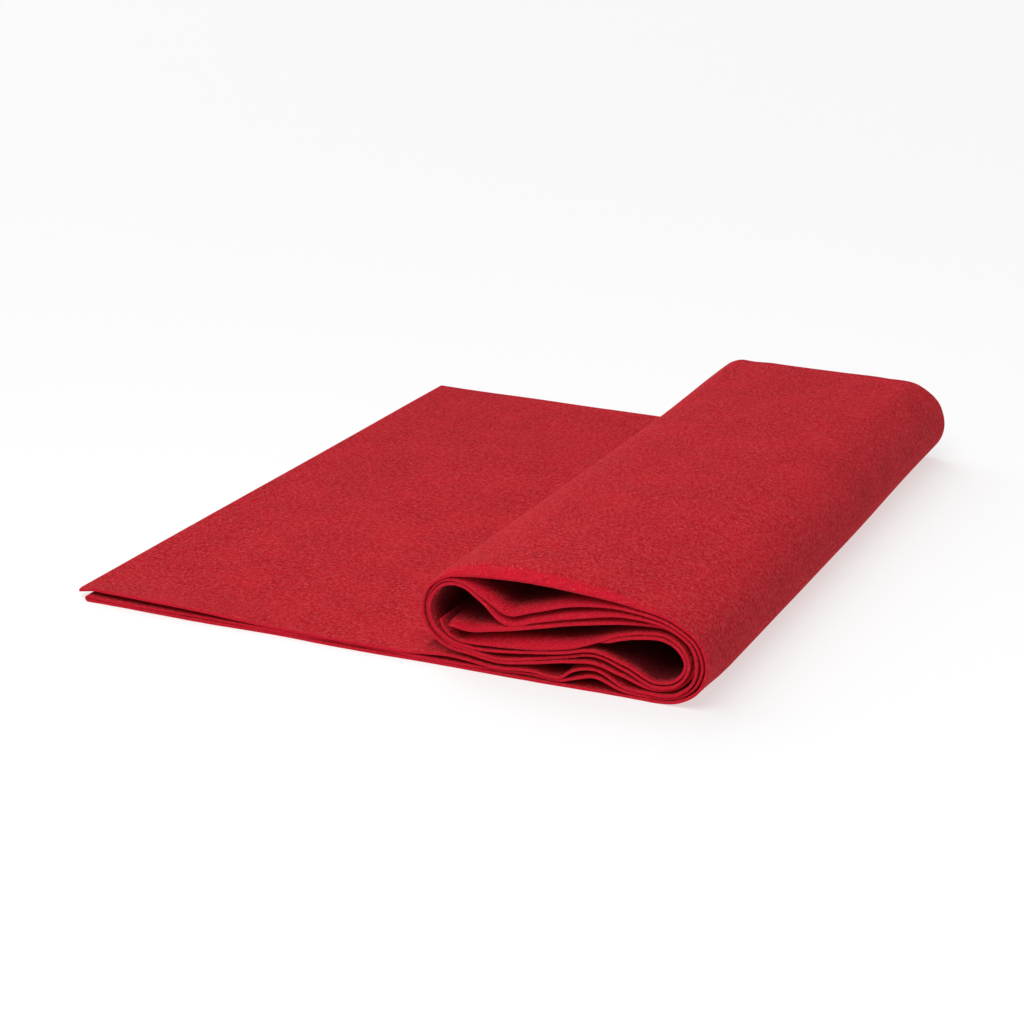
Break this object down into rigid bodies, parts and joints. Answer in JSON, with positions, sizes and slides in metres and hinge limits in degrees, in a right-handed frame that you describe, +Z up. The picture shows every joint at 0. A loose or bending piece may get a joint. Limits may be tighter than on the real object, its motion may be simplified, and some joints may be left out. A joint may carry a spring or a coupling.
{
  "type": "roll of felt",
  "caption": "Flat coreless roll of plain red felt, its layers wound together, with the loose end lying out as a flap; craft and sewing material.",
  "frame": {"origin": "under the middle of the whole part's box, on the surface that it lies on", "axes": "+Y along the roll's axis, from the end with the open hollows to the far end; +X from the flap's end to the roll; +Z up"},
  "size_m": [0.371, 0.4544, 0.0588],
  "materials": {
    "felt": "matt, short fibres"
  },
  "bodies": {
    "root": {"doubled_sheet": "felt", "top_sheet": "felt"}
  },
  "joints": []
}
